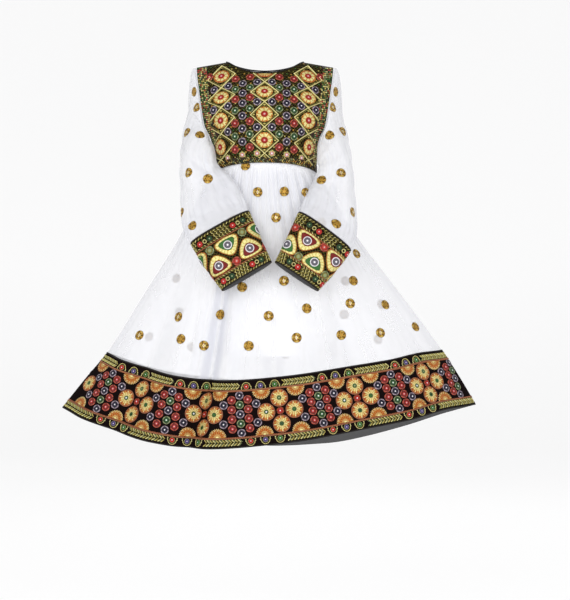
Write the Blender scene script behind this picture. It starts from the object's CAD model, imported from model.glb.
"""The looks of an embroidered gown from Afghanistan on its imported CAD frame.

Every piece of cloth is a surface worked out with numpy from the same sizes as the CAD part, with its
gathers and folds, and the embroidery is small raised motifs laid on those surfaces. Shapes are worked
out in millimetres and put into meshes in metres.
"""

import math

import bpy
import numpy as np
from bpy.props import FloatProperty, FloatVectorProperty, IntProperty, PointerProperty
from bpy.types import Operator, Panel, PropertyGroup
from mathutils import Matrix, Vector


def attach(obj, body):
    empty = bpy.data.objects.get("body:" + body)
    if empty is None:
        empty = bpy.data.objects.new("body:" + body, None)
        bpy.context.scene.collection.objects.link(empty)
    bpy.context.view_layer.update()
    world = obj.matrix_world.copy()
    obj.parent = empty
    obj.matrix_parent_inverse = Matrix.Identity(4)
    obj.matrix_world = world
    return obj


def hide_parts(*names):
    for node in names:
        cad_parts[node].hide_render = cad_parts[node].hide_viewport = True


bl_info = {
    "name": "Embroidered Gown",
    "version": (1, 0, 0),
    "blender": (4, 5, 0),
    "location": "View3D > Sidebar > Gown",
    "description": "Builds the cloth, the embroidery and the studio of a gown on its CAD frame",
    "category": "Object",
}

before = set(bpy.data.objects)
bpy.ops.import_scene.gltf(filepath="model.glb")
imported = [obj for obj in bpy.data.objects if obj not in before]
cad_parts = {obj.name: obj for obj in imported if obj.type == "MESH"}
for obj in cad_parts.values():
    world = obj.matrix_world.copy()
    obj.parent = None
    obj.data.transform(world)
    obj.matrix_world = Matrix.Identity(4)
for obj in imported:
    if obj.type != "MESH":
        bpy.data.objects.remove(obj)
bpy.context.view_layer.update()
BODY = "root"
METRE = 0.001

# Sizes shared with the CAD part, in millimetres
SEAM_GAP = 0.3
ARMHOLE_GAP = 1.2
NECK_HALF_WIDTH = 97.5
SHOULDER_HALF_WIDTH = 171
SHOULDER_TOP = 1
SHOULDER_DROP = 13
FRONT_NECK_DROP = 37
BACK_NECK_DROP = 17
WAIST_CORNER_Z = -277
UNDERARM_Z = -205
FRONT_WAIST_RISE = 15
BACK_WAIST_RISE = 5
BAND_TOP = 0.763
UNDERSKIRT_HEM_Z = -735
UNDERSKIRT_TUCK = 6
ARMHOLE_BRAID_SHARE = 0.84
WAIST_BRAID_SHARE = 0.06
BODICE_CLEARANCE = 2.5
SKIRT_CLEARANCE = 11
CUFF_SQUARENESS = 0.78
TORSO_ROUND_X = 2.4
TORSO_ROUND_Y = 2
GATHERS_PER_PANEL = 17
GATHER_HEIGHT = 3.4
SLEEVE_GATHERS = 14


def table(columns, *rows):
    """The named columns of a table, one array for each."""
    values = np.array(rows, float)
    return {name: values[:, i] for i, name in enumerate(columns.split())}


TORSO = table(
    "z edge body",
    (-277, 129, 129),
    (-240, 130.3, 130.3),
    (-205, 132.5, 132.5),
    (-185, 139, 142),
    (-165, 149, 157),
    (-131, 155.5, 171),
    (-80, 163, 179),
    (-40, 168.5, 188),
    (-12, 171, 192),
)
PROFILE = table(
    "below chest back",
    (0, 0, 0),
    (6, 22, 14),
    (16, 37, 24),
    (32, 51, 35),
    (54, 66, 49),
    (90, 88, 64),
    (130, 104, 75),
    (170, 114, 80),
    (205, 118, 81),
    (240, 112, 79),
    (285, 104, 76),
    (300, 103, 76),
)
SKIRT = table(
    "down right left front back round_x round_y",
    (0, 129, 129, 104, 76, 2.4, 2),
    (0.1, 166, 163, 113, 90, 2.35, 1.85),
    (0.28, 232, 216, 127, 116, 2.3, 1.6),
    (0.5, 329, 296, 143, 138, 2.25, 1.4),
    (0.76, 440, 392, 168, 163, 2.2, 1.25),
    (0.88, 485, 450, 181, 176, 2.2, 1.2),
    (1, 526, 506, 195, 188, 2.2, 1.2),
)
HEM = {
    "front": table(
        "x z",
        (-506, -864),
        (-386, -910),
        (-245, -945),
        (-129, -954),
        (25, -943),
        (159, -923),
        (341, -890),
        (440, -867),
        (526, -856),
    ),
    "back": table(
        "x z",
        (-506, -864),
        (-386, -913),
        (-245, -946),
        (0, -970),
        (160, -964),
        (261, -944),
        (358, -915),
        (451, -882),
        (526, -856),
    ),
}
FOLDS = {
    "front": table(
        "at width out start full",
        (0.07, 0.03, 6, 0.35, 0.9),
        (0.15, 0.035, -11, 0.2, 0.85),
        (0.235, 0.035, 8, 0.15, 0.8),
        (0.33, 0.021, -22, 0.06, 0.7),
        (0.385, 0.03, 9, 0.1, 0.75),
        (0.5, 0.035, -6, 0.3, 0.85),
        (0.585, 0.04, 7, 0.1, 0.7),
        (0.7, 0.045, -8, 0.25, 0.85),
        (0.82, 0.04, 6, 0.25, 0.9),
        (0.92, 0.03, -4, 0.35, 0.9),
    ),
    "back": table(
        "at width out start full",
        (0.09, 0.035, -6, 0.3, 0.9),
        (0.19, 0.04, 9, 0.15, 0.85),
        (0.3, 0.035, -13, 0.1, 0.8),
        (0.4, 0.035, 9, 0.12, 0.8),
        (0.5, 0.03, -15, 0.06, 0.75),
        (0.6, 0.04, 10, 0.12, 0.8),
        (0.71, 0.035, -11, 0.15, 0.85),
        (0.82, 0.04, 8, 0.2, 0.85),
        (0.92, 0.03, -5, 0.35, 0.9),
    ),
}
UNDERSKIRT = table(
    "down side front back",
    (0, 125.8, 100.9, 73.3),
    (0.06, 127, 100.5, 75),
    (0.3, 146, 106, 94),
    (0.6, 163, 112, 106),
    (1, 182, 121, 114),
)
UPPER_SLEEVE = (
    (171.5, 0, -12, 133, 0, -205, 46),
    (183, -1, -20, 135, -1, -214, 49),
    (188, -3, -56, 136, -4, -226, 50),
    (190, -6, -100, 135, -9, -240, 50),
    (195, -9, -143, 134, -18, -254, 49),
)
LEFT_FOREARM = (
    (206, -14, -182, 134, -36, -268, 49),
    (213, -22, -232, 129, -58, -285, 50),
    (217, -36, -287, 119, -80, -303, 50),
    (220, -56, -342, 109, -98, -325, 47),
    (224, -86, -394, 99, -114, -347, 41),
    (221, -118, -440, 90, -131, -368, 32),
    (208.8, -150, -478.7, 83.2, -149, -386, 23),
    (171, -162, -530, 55, -161, -449, 25),
    (128.5, -171, -577.4, 26, -171, -508.7, 22),
)
RIGHT_FOREARM = (
    (203, -14, -178, 127, -47, -266, 49),
    (207, -22, -226, 105, -82, -277, 50),
    (207, -36, -279, 84, -103, -293, 50),
    (205, -56, -332, 66, -118, -316, 47),
    (203, -86, -382, 54, -128, -340, 41),
    (195, -118, -427, 44, -139, -363, 32),
    (177.8, -150, -462, 36.8, -149, -383.5, 23),
    (141, -162, -522, 10, -161, -447, 25),
    (99.6, -171, -577.4, -18, -171, -508.7, 22),
)
CUFF_STATION = len(UPPER_SLEEVE) + 6
SLEEVE_FOLDS = table(
    "around width out",
    (0.09, 0.035, -3.5),
    (0.2, 0.045, 4),
    (0.31, 0.03, -4),
    (0.42, 0.035, 3),
    (0.6, 0.04, -3),
    (0.72, 0.045, 3.5),
    (0.85, 0.035, -4),
)


def arm_table(rows):
    """A sleeve's rings, numbered from the armhole."""
    numbered = [(station, *row) for station, row in enumerate(rows)]
    return table("station out_x out_y out_z in_x in_y in_z depth", *numbered)


ARMS = {
    1: arm_table(UPPER_SLEEVE + LEFT_FOREARM),
    -1: arm_table(UPPER_SLEEVE + RIGHT_FOREARM),
}


# Sizes and colours that a user would change


class GownSizes(PropertyGroup):
    """Thicknesses and counts of the cloth, in millimetres."""

    sheer_wall: FloatProperty(
        name="Sheer cloth", description="Thickness of the sheer cloth in mm", default=0.5, min=0.2, max=1.2
    )
    satin_wall: FloatProperty(
        name="Underskirt", description="Thickness of the underskirt in mm", default=0.9, min=0.3, max=1.2
    )
    band_wall: FloatProperty(
        name="Band and cuffs", description="Thickness of the stiffened cloth in mm", default=2.0, min=1, max=3
    )
    facing_wall: FloatProperty(
        name="Facing", description="Thickness of the grey facings in mm", default=1.0, min=0.4, max=1.2
    )
    skirt_columns: IntProperty(
        name="Skirt columns", description="Columns of faces across a skirt panel", default=400,
        min=100, max=600,
    )
    fine_gathers: IntProperty(
        name="Fine gathers", description="Small gathers across a skirt panel's top", default=61,
        min=20, max=90,
    )
    fine_gather_height: FloatProperty(
        name="Gather height", description="How far a small gather stands out in mm", default=0.7, min=0, max=2
    )


class GownColours(PropertyGroup):
    """The colours of the cloths, as linear values."""

    sheer: FloatVectorProperty(
        name="Sheer cloth", description="Thin lavender white cloth", subtype="COLOR", size=3,
        default=(0.88, 0.88, 0.905), min=0, max=1,
    )
    satin: FloatVectorProperty(
        name="White cloth", description="Underskirt and back of the bodice", subtype="COLOR", size=3,
        default=(0.955, 0.955, 0.965), min=0, max=1,
    )
    ground: FloatVectorProperty(
        name="Black ground", description="Cloth under the embroidery", subtype="COLOR", size=3,
        default=(0.004, 0.0015, 0.002), min=0, max=1,
    )
    facing: FloatVectorProperty(
        name="Facing", description="Grey cloth behind the band and the cuffs", subtype="COLOR", size=3,
        default=(0.13, 0.13, 0.132), min=0, max=1,
    )


class StudioSettings(PropertyGroup):
    """The camera and the light."""

    camera_distance: FloatProperty(
        name="Distance", description="From the camera to the gown's middle", default=4.0, unit="LENGTH"
    )
    camera_x: FloatProperty(name="Camera across", description="Camera's X", default=0.05, unit="LENGTH")
    camera_z: FloatProperty(name="Camera height", description="Camera's Z", default=-0.682, unit="LENGTH")
    aim_z: FloatProperty(name="Aim height", description="Z of the aimed point", default=-0.595, unit="LENGTH")
    lens: FloatProperty(name="Lens", description="Focal length", default=96.0, unit="CAMERA")
    floor_z: FloatProperty(name="Floor", description="Height of the floor", default=-1.42, unit="LENGTH")
    key_power: FloatProperty(
        name="Key light", description="Power of the large light", default=78, unit="POWER"
    )
    sky: FloatProperty(name="Sky", description="Strength of the light from all round", default=0.5, min=0)


# Numbers


def smooth(t):
    """0 below 0, 1 above 1, and 3 t squared minus 2 t cubed between."""
    k = np.clip(t, 0, 1)
    return k * k * (3 - 2 * k)


def read(rows, key, at, column):
    """A table's column at places between its rows: a cubic through neighbouring rows, whose slope at each
    row is the rise over the run between the rows on either side of it."""
    keys, values = rows[key], rows[column]
    number = np.arange(len(keys))
    before = np.maximum(number - 1, 0)
    after = np.minimum(number + 1, len(keys) - 1)
    slope = (values[after] - values[before]) / (keys[after] - keys[before])
    place = np.clip(at, keys[0], keys[-1])
    low = np.searchsorted(keys[1:-1], place)
    span = keys[low + 1] - keys[low]
    t = (place - keys[low]) / span
    return (
        (2 * t**3 - 3 * t**2 + 1) * values[low]
        + (t**3 - 2 * t**2 + t) * span * slope[low]
        + (3 * t**2 - 2 * t**3) * values[low + 1]
        + (t**3 - t**2) * span * slope[low + 1]
    )


def signed_power(base, power):
    """The size of the base to the power, with the base's sign."""
    return np.sign(base) * np.abs(base) ** power


def unit(vectors):
    """Each vector over its own length."""
    length = np.linalg.norm(vectors, axis=-1, keepdims=True)
    return vectors / np.maximum(length, 1e-9)


def linear(code):
    """A colour written as 0xRRGGBB in linear values: each channel over 255 to the power 2.5."""
    return tuple(((code >> shift & 255) / 255) ** 2.5 for shift in (16, 8, 0))


# Surfaces of cloth


class Cloth:
    """A piece of cloth as a grid of points: rows run down it, and columns across it, counter-clockwise
    round the body seen from above."""

    def __init__(self, points, closed=False, normals=None):
        self.points = points
        self.closed = closed
        self.normals = self.grid_normals() if normals is None else normals
        ring = self.wrapped(points)
        middle = ring[ring.shape[0] // 2]
        self.across = np.append(0, np.cumsum(np.linalg.norm(np.diff(middle, axis=0), axis=1)))
        steps = np.linalg.norm(np.diff(points, axis=0), axis=2).mean(axis=1)
        self.down = np.append(0, np.cumsum(steps))
        self.row_width = np.linalg.norm(np.diff(ring, axis=1), axis=2).sum(axis=1)

    @property
    def width(self):
        return self.across[-1]

    @property
    def length(self):
        return self.down[-1]

    def wrapped(self, grid):
        """The grid with its first column again at the end, where the cloth closes on itself."""
        return np.concatenate([grid, grid[:, :1]], axis=1) if self.closed else grid

    def grid_normals(self):
        """The step down the cloth crossed with the step across it, over its own length."""
        padded = np.concatenate([self.points[:1], self.points, self.points[-1:]])
        down = padded[2:] - padded[:-2]
        if self.closed:
            after, before = np.roll(self.points, -1, axis=1), np.roll(self.points, 1, axis=1)
        else:
            after = np.concatenate([self.points[:, 1:], self.points[:, -1:]], axis=1)
            before = np.concatenate([self.points[:, :1], self.points[:, :-1]], axis=1)
        return unit(np.cross(down, after - before))

    def squared_to_seams(self):
        """The same cloth with its normals in the seam's plane where it ends on a side seam."""
        on_seam = np.abs(self.points[..., 1]) < 1
        self.normals[on_seam, 1] = 0
        self.normals = unit(self.normals)
        return self

    def raised(self, height):
        """The same cloth moved along its normals."""
        return Cloth(self.points + self.normals * height, self.closed, self.normals)

    def at(self, u, v, height):
        """Points at u mm across and v mm down, raised by a height: each is the mean of the four grid
        points round it, weighted by how near they are, plus the height along the normal there."""
        if self.closed:
            u = np.mod(u, self.width)
        column = np.interp(u, self.across, np.arange(len(self.across)))
        row = np.interp(v, self.down, np.arange(len(self.down)))
        c = np.minimum(column.astype(int), len(self.across) - 2)
        r = np.minimum(row.astype(int), len(self.down) - 2)
        s, t = (column - c)[..., None], (row - r)[..., None]

        def between(grid):
            grid = self.wrapped(grid)
            upper = grid[r, c] * (1 - s) + grid[r, c + 1] * s
            lower = grid[r + 1, c] * (1 - s) + grid[r + 1, c + 1] * s
            return upper * (1 - t) + lower * t

        return between(self.points) + unit(between(self.normals)) * np.asarray(height)[..., None]

    def stretch(self, u, v, reach=5.0):
        """How long a millimetre across and a millimetre down are at a place, measured over a reach, and the
        cosine of the angle between the two."""
        steps, ways = [], []
        for du, dv in ((reach, 0), (0, reach)):
            ahead, behind = self.at(u + du, v + dv, 0 * u), self.at(u - du, v - dv, 0 * u)
            axis, place, step = (0, u, du) if du else (1, v, dv)
            room = np.clip(place + step, *self.span(axis)) - np.clip(place - step, *self.span(axis))
            if du and self.closed:
                room = 2 * du
            steps.append(np.linalg.norm(ahead - behind, axis=-1) / np.maximum(room, 1e-6))
            ways.append(unit(ahead - behind))
        slant = (ways[0] * ways[1]).sum(axis=-1)
        return *np.maximum(steps, 0.3), np.clip(slant, -0.6, 0.6)

    def span(self, axis):
        """The first and last place across the cloth, or down it."""
        places = self.down if axis else self.across
        return places[0], places[-1]

    def across_at_x(self, x, v):
        """The place across the cloth where the row at v mm down passes x, on a piece whose x rises."""
        row = int(np.interp(v, self.down, np.arange(len(self.down))))
        return float(np.interp(x, self.points[row, :, 0], self.across[: self.points.shape[1]]))


# The bodice


def shoulder_line(x):
    """The top, falling evenly from the side of the neck to the shoulder tip."""
    slope = SHOULDER_DROP / (SHOULDER_HALF_WIDTH - NECK_HALF_WIDTH)
    return SHOULDER_TOP - slope * (np.abs(x) - NECK_HALF_WIDTH)


def waist_line(face, x):
    """The waist seam, which rises in the middle by a share of one minus the distance to the power 2.6."""
    rise = FRONT_WAIST_RISE if face == "front" else BACK_WAIST_RISE
    share = np.minimum(1, np.abs(x) / TORSO["edge"][0])
    return WAIST_CORNER_Z + rise * (1 - share**2.6)


def top_line(face, x):
    """The shoulder line outside the neck, and inside it a dip of one minus the distance to the power 2.3."""
    drop = FRONT_NECK_DROP if face == "front" else BACK_NECK_DROP
    share = np.minimum(1, np.abs(x) / NECK_HALF_WIDTH)
    neckline = SHOULDER_TOP - drop * (1 - share**2.3)
    return np.where(np.abs(x) >= NECK_HALF_WIDTH, shoulder_line(x), neckline)


def torso_depth(face, x, z):
    """The profile's depth below the shoulder, rounded off towards the sides as a superellipse."""
    depth = read(PROFILE, "below", shoulder_line(x) - z, "chest" if face == "front" else "back")
    share = np.minimum(1, np.abs(x) / read(TORSO, "z", z, "body"))
    return depth * (1 - share**TORSO_ROUND_X) ** (1 / TORSO_ROUND_Y)


def bodice_points(face, across, up):
    """Points of the bodice: across from -1 to 1 with x, and up from the waist seam to the top."""
    across = np.asarray(across, float)[None, :] * (1 if face == "front" else -1)
    up = np.asarray(up, float)[::-1, None]
    side_z = WAIST_CORNER_Z + up * (shoulder_line(SHOULDER_HALF_WIDTH) - WAIST_CORNER_Z)
    x = across * read(TORSO, "z", side_z, "edge")
    low = waist_line(face, across * TORSO["edge"][0])
    high = top_line(face, across * SHOULDER_HALF_WIDTH)
    z = low + up * (high - low)
    depth = SEAM_GAP + torso_depth(face, x, z)
    return np.stack(np.broadcast_arrays(x, -depth if face == "front" else depth, z), axis=-1)


def bodice_cloth(face, across, up):
    """The bodice points as cloth, square to the side seams."""
    return Cloth(bodice_points(face, across, up)).squared_to_seams()


def chest_plane(out=0.0):
    """The front of the bodice over an even grid of x and z, raised along its normals, so that a place
    across it is x from the middle and a place down it is how far it lies below the shoulder plane."""
    x = np.linspace(-SHOULDER_HALF_WIDTH, SHOULDER_HALF_WIDTH, 241)
    z = np.linspace(0, WAIST_CORNER_Z, 181)
    x_grid, z_grid = np.meshgrid(x, z)
    depth = SEAM_GAP + torso_depth("front", x_grid, np.minimum(z_grid, shoulder_line(x_grid)))
    cloth = Cloth(np.stack([x_grid, -depth, z_grid], axis=-1)).raised(out)
    cloth.across, cloth.down = x, -z
    return cloth


# The skirt and the underskirt


def half_section(size, face, shares):
    """Half a rounded section for each row, from one side seam to the other, at shares of its length: x is
    the half width times a power of the cosine, and y the depth times a power of the sine. Gives the points
    and the directions out of the section."""
    rows = len(size["front"])
    turn = (np.pi if face == "front" else 0) + np.linspace(0, np.pi, 1201)
    cosine, sine = np.cos(turn)[None, :], np.sin(turn)[None, :]
    column = {name: values[:, None] for name, values in size.items()}
    side = np.where(cosine >= 0, column["right"], column["left"])
    x = side * signed_power(cosine, 2 / column["round_x"])
    y = column[face] * signed_power(sine, 2 / column["round_y"])
    along = np.append(np.zeros((rows, 1)), np.cumsum(np.hypot(np.diff(x), np.diff(y)), axis=1), axis=1)
    number = np.arange(rows)[:, None]
    key = (number + 0.999 * along / along[:, -1:]).ravel()
    wanted = (number + 0.999 * np.asarray(shares)[None, :]).ravel()

    def read_rows(values):
        return np.interp(wanted, key, values.ravel()).reshape(rows, -1)

    out = unit(np.stack([read_rows(np.gradient(y, axis=1)), -read_rows(np.gradient(x, axis=1))], axis=-1))
    return np.stack([read_rows(x), read_rows(y)], axis=-1), out


def skirt_relief(face, share, down):
    """How far the skirt stands out of its smooth section: gathers that fade below the waist seam, and
    long folds, each a bell curve across the panel that opens down it."""
    fade = np.minimum(1, np.minimum(share, 1 - share) / 0.03)
    wander = 0.5 * np.sin(6 * np.pi * share + 1) + 0.3 * np.sin(14 * np.pi * share)
    wave = 0.5 - 0.5 * np.cos(2 * np.pi * GATHERS_PER_PANEL * share + wander)
    gathered = smooth(down / 0.05) * (1 - smooth((down - 0.12) / 0.38))
    small = 0.5 - 0.5 * np.cos(2 * np.pi * sizes().fine_gathers * share + 3 * wander)
    puckered = smooth(down / 0.02) * (1 - smooth((down - 0.03) / 0.3))
    folds = FOLDS[face]
    opening = smooth((down[..., None] - folds["start"]) / (folds["full"] - folds["start"]))
    bell = np.exp(-(((share[..., None] - folds["at"]) / folds["width"]) ** 2))
    folded = (folds["out"] * opening * bell).sum(axis=-1)
    fine = sizes().fine_gather_height * puckered * small
    return fade * (GATHER_HEIGHT * gathered * wave + folded + fine)


def skirt_cloth(face, shares, downs):
    """A grid over a skirt panel: each row is half a section, pushed out by the gathers and folds, and
    its height runs evenly from the waist seam to the hem."""
    downs = np.asarray(downs, float)
    shares = np.asarray(shares, float)

    def sections(places):
        size = {name: read(SKIRT, "down", places, name) for name in SKIRT if name != "down"}
        return half_section(size, face, shares)

    ends, _ = sections(np.array([0.0, 1.0]))
    high = waist_line(face, ends[0, :, 0]) - SEAM_GAP
    low = read(HEM[face], "x", ends[1, :, 0], "z")
    flat, out = sections(downs)
    share, down = np.broadcast_arrays(shares[None, :], downs[:, None])
    flat = flat + out * skirt_relief(face, share, down)[..., None]
    gap = -SEAM_GAP / 2 if face == "front" else SEAM_GAP / 2
    z = high + down * (low - high)
    return Cloth(np.stack([flat[..., 0], flat[..., 1] + gap, z], axis=-1)).squared_to_seams()


def underskirt_cloth(face, shares, downs):
    """A grid over an underskirt panel: half sections that widen downwards and sway gently."""
    downs = np.asarray(downs, float)
    shares = np.asarray(shares, float)
    side = read(UNDERSKIRT, "down", downs, "side")
    size = {
        "right": side,
        "left": side,
        face: read(UNDERSKIRT, "down", downs, face),
        "round_x": np.full_like(side, TORSO_ROUND_X),
        "round_y": np.full_like(side, TORSO_ROUND_Y),
    }
    size.setdefault("front", side)
    flat, out = half_section(size, face, shares)
    high = waist_line(face, flat[..., 0]) + UNDERSKIRT_TUCK
    share, down = np.broadcast_arrays(shares[None, :], downs[:, None])
    sway = 4 * smooth((down - 0.3) / 0.7) * np.sin(7 * np.pi * share) * np.sin(np.pi * share)
    flat = flat + out * sway[..., None]
    gap = -SEAM_GAP / 2 if face == "front" else SEAM_GAP / 2
    z = high + down * (UNDERSKIRT_HEM_Z - high)
    return Cloth(np.stack([flat[..., 0], flat[..., 1] + gap, z], axis=-1)).squared_to_seams()


# Sleeves and cuffs


def clear_of_dress(points, clearance):
    """Whether points below the armholes lie outside the bodice and skirt: the sum of the powers of x over
    the half width and y over the depth is at least one."""
    x, y, z = np.moveaxis(points, -1, 0)
    down = np.where(z > WAIST_CORNER_Z, 0, (WAIST_CORNER_Z - z) / (WAIST_CORNER_Z - HEM["front"]["z"][0]))
    size = {name: read(SKIRT, "down", down, name) for name in SKIRT if name != "down"}
    body = read(TORSO, "z", z, "body")
    side = np.where(z > WAIST_CORNER_Z, body, np.where(x > 0, size["right"], size["left"])) + clearance
    depth = np.where(y < 0, size["front"], size["back"]) + 6 + clearance
    return (np.abs(x) / side) ** size["round_x"] + (np.abs(y) / depth) ** size["round_y"] >= 1


def laid_against_dress(points, middle, sign, clearance):
    """Sleeve points kept clear of the dress: outside the yoke's edge beside the armhole, and below it drawn
    towards the middle of their ring by halving the distance 18 times."""
    least = read(TORSO, "z", points[..., 2], "edge") + ARMHOLE_GAP + clearance
    beside = points.copy()
    beside[..., 0] = sign * np.maximum(sign * points[..., 0], least)
    inside = np.ones(points.shape[:-1])
    clear = np.zeros(points.shape[:-1])
    for _ in range(18):
        half = (inside + clear) / 2
        good = clear_of_dress(middle + (points - middle) * half[..., None], clearance)
        clear = np.where(good, half, clear)
        inside = np.where(good, inside, half)
    fine = clear_of_dress(points, clearance)
    drawn = np.where(fine[..., None], points, middle + (points - middle) * clear[..., None])
    return np.where((points[..., 2] > UNDERARM_Z)[..., None], beside, drawn)


def ring_frames(stations, sign):
    """The middle of each ring of a sleeve, and its two half axes, outward and forward."""
    arm = ARMS[sign]

    def end(name, places):
        columns = [read(arm, "station", places, f"{name}_{axis}") for axis in "xyz"]
        return np.stack([sign * columns[0], columns[1], columns[2]], axis=-1)

    def middle(places):
        return (end("out", places) + end("in", places)) / 2

    step = 0.25
    outward = (end("out", stations) - end("in", stations)) / 2
    along = unit(middle(stations + step) - middle(stations - step))
    forward = unit(np.cross(outward, along))
    forward = np.where(forward[:, 1:2] > 0, -forward, forward)
    return middle(stations), outward, forward * read(arm, "station", stations, "depth")[:, None]


def ring_points(frames, arounds, squareness):
    """Rings of a tube: the middle plus each half axis times a power of the cosine or the sine."""
    middle, outward, forward = (part[:, None, :] for part in frames)
    angle = 2 * np.pi * arounds[None, :, None]
    power = np.broadcast_to(squareness, (len(frames[0]),))[:, None, None]
    return (
        middle
        + outward * signed_power(np.cos(angle), power)
        + forward * signed_power(np.sin(angle), power)
    )


def armhole_points(arounds, sign):
    """The armhole seam on the bodice: the height swings as the cosine from the shoulder tip to the
    underarm."""
    angle = 2 * np.pi * arounds
    tip = shoulder_line(SHOULDER_HALF_WIDTH)
    z = (tip + UNDERARM_Z) / 2 + np.cos(angle) * (tip - UNDERARM_Z) / 2
    x = read(TORSO, "z", z, "edge")
    front, back = (torso_depth(face, x, z) for face in ("front", "back"))
    y = np.where(np.sin(angle) >= 0, -front, back)
    return np.stack([sign * (x + ARMHOLE_GAP), y, z], axis=-1)


def sleeve_relief(around, station):
    """How far a sleeve stands out of its smooth ring: long folds as bell curves round it, gathers at the
    armhole and above the cuff, and soft creases round the elbow."""
    distance = np.abs(around[..., None] - SLEEVE_FOLDS["around"])
    distance = np.minimum(distance, 1 - distance)
    bell = np.exp(-((distance / SLEEVE_FOLDS["width"]) ** 2))
    middle = smooth(station / 2.5) * (1 - smooth((station - 9) / 2))
    long = (SLEEVE_FOLDS["out"] * bell).sum(axis=-1) * middle
    wave = 0.5 - 0.5 * np.cos(2 * np.pi * SLEEVE_GATHERS * around)
    head = smooth(station / 0.5) * (1 - smooth((station - 0.7) / 1.8))
    wrist = smooth((station - 8.6) / 1.4) * (1 - smooth((station - 10.3) / 0.7))
    crease = 0.5 + 0.5 * np.sin(5.2 * station + 7 * np.pi * around + 2 * np.sin(4 * np.pi * around))
    elbow = smooth((station - 3) / 2) * (1 - smooth((station - 8) / 2))
    return long + wave * (1.6 * head + 2.2 * wrist) + 1.6 * elbow * crease**2


def tube_arounds(count, sign):
    """Even places round a tube, in the order that makes its normals point out."""
    places = np.arange(count) / count
    return np.mod(1 - places, 1) if sign > 0 else places


def sleeve_cloth(sign, arounds, stations):
    """A grid over a sleeve: rings that begin on the armhole seam, stand out by the folds, and are laid
    against the dress."""
    frames = ring_frames(stations, sign)
    squareness = 1 - (1 - CUFF_SQUARENESS) * smooth((stations - 9) / 2)
    points = ring_points(frames, arounds, squareness)
    middle = frames[0][:, None, :]
    around, station = np.broadcast_arrays(arounds[None, :], stations[:, None])
    points = points + unit(points - middle) * sleeve_relief(around, station)[..., None]
    first = ring_points(ring_frames(np.array([0.0]), sign), arounds, 1)[0]
    fit = armhole_points(arounds, sign) - first
    points = points + fit[None] * (1 - smooth(station / 1.2))[..., None]
    clearance = BODICE_CLEARANCE * smooth(station)
    clearance = clearance + (SKIRT_CLEARANCE - BODICE_CLEARANCE) * smooth((station - 4) / 3)
    laid = laid_against_dress(points, middle, sign, clearance)
    cloth = Cloth(np.where((station > 0)[..., None], laid, points), closed=True)
    cloth.normals[0, :, 0] = 0
    cloth.normals = unit(cloth.normals)
    return cloth


def cuff_cloth(sign, arounds, stations):
    """A grid over a cuff: squarish rings without folds."""
    return Cloth(ring_points(ring_frames(stations, sign), arounds, CUFF_SQUARENESS), closed=True)


# Meshes


def new_piece(name, points, faces, uv, finish, attributes=None, sharp=True):
    """A mesh object from whole arrays, in metres: points, quads, a UV for each corner, and float or colour
    attributes for each face."""
    mesh = bpy.data.meshes.new(name)
    mesh.from_pydata(np.asarray(points) * METRE, [], faces.tolist())
    mesh.uv_layers.new(name="cloth").data.foreach_set("uv", np.ascontiguousarray(uv, np.float32).ravel())
    for label, values in (attributes or {}).items():
        kind = "FLOAT_COLOR" if values.ndim == 2 else "FLOAT"
        field, width = ("color", 4) if values.ndim == 2 else ("value", 1)
        if values.ndim == 2:
            values = np.column_stack([values, np.ones(len(values))])
        layer = mesh.attributes.new(label, kind, "CORNER" if len(values) == faces.size else "POINT")
        layer.data.foreach_set(field, np.ascontiguousarray(values, np.float32).reshape(-1, width).ravel())
    mesh.shade_smooth()
    if sharp:
        mesh.set_sharp_from_angle(angle=math.radians(50))
    mesh.materials.append(finish)
    mesh.validate()
    piece = bpy.data.objects.new(name, mesh)
    bpy.context.collection.objects.link(piece)
    return piece


def cells(grid, order="abcd"):
    """The four corners of each cell of a grid: a is its first corner, b lies a row on from a, d a column on
    from a, and c across from a."""
    corners = {"a": grid[:-1, :-1], "b": grid[1:, :-1], "c": grid[1:, 1:], "d": grid[:-1, 1:]}
    stacked = np.stack([corners[name] for name in order], axis=2)
    return stacked.reshape(-1, *stacked.shape[2:])


def shell(name, cloth, thickness, finish, out=0.0, weight=None):
    """A closed wall of cloth: the grid moved out along its normals, the same grid moved in by the
    thickness, and strips of faces round the edges. UVs are metres across and down the cloth."""
    rows, columns = cloth.points.shape[:2]
    outer = cloth.points + cloth.normals * out
    inner = cloth.points + cloth.normals * (out - thickness)
    outer_ids = cloth.wrapped(np.arange(rows * columns).reshape(rows, columns))
    inner_ids = outer_ids + rows * columns
    uv = np.stack(np.meshgrid(cloth.across, cloth.down), axis=-1) * METRE

    def strip(first, second, width_first, width_second):
        ids = np.stack([first[:-1], first[1:], second[1:], second[:-1]], axis=1)
        marks = np.stack([width_first[:-1], width_first[1:], width_second[1:], width_second[:-1]], axis=1)
        return ids, marks

    parts = [
        (cells(outer_ids), cells(uv)),
        (cells(inner_ids, "adcb"), cells(uv, "adcb")),
        strip(outer_ids[0], inner_ids[0], uv[0], uv[0]),
        strip(inner_ids[-1], outer_ids[-1], uv[-1], uv[-1]),
    ]
    if not cloth.closed:
        parts.append(strip(inner_ids[:, 0], outer_ids[:, 0], uv[:, 0], uv[:, 0]))
        parts.append(strip(outer_ids[:, -1], inner_ids[:, -1], uv[:, -1], uv[:, -1]))
    faces = np.concatenate([ids for ids, _ in parts])
    marks = np.concatenate([mark for _, mark in parts]).reshape(-1, 2)
    points = np.concatenate([outer.reshape(-1, 3), inner.reshape(-1, 3)])
    attributes = {} if weight is None else {"weight": np.tile(weight.ravel(), 2)}
    return new_piece(name, points, faces, marks, finish, attributes)


def joined_to_frame(piece, slot, *nodes):
    """The piece rides on the gown's body, stands for its CAD nodes and takes a material slot's finish."""
    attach(piece, BODY)
    if nodes:
        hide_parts(*nodes)
    return piece


# Materials


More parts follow.
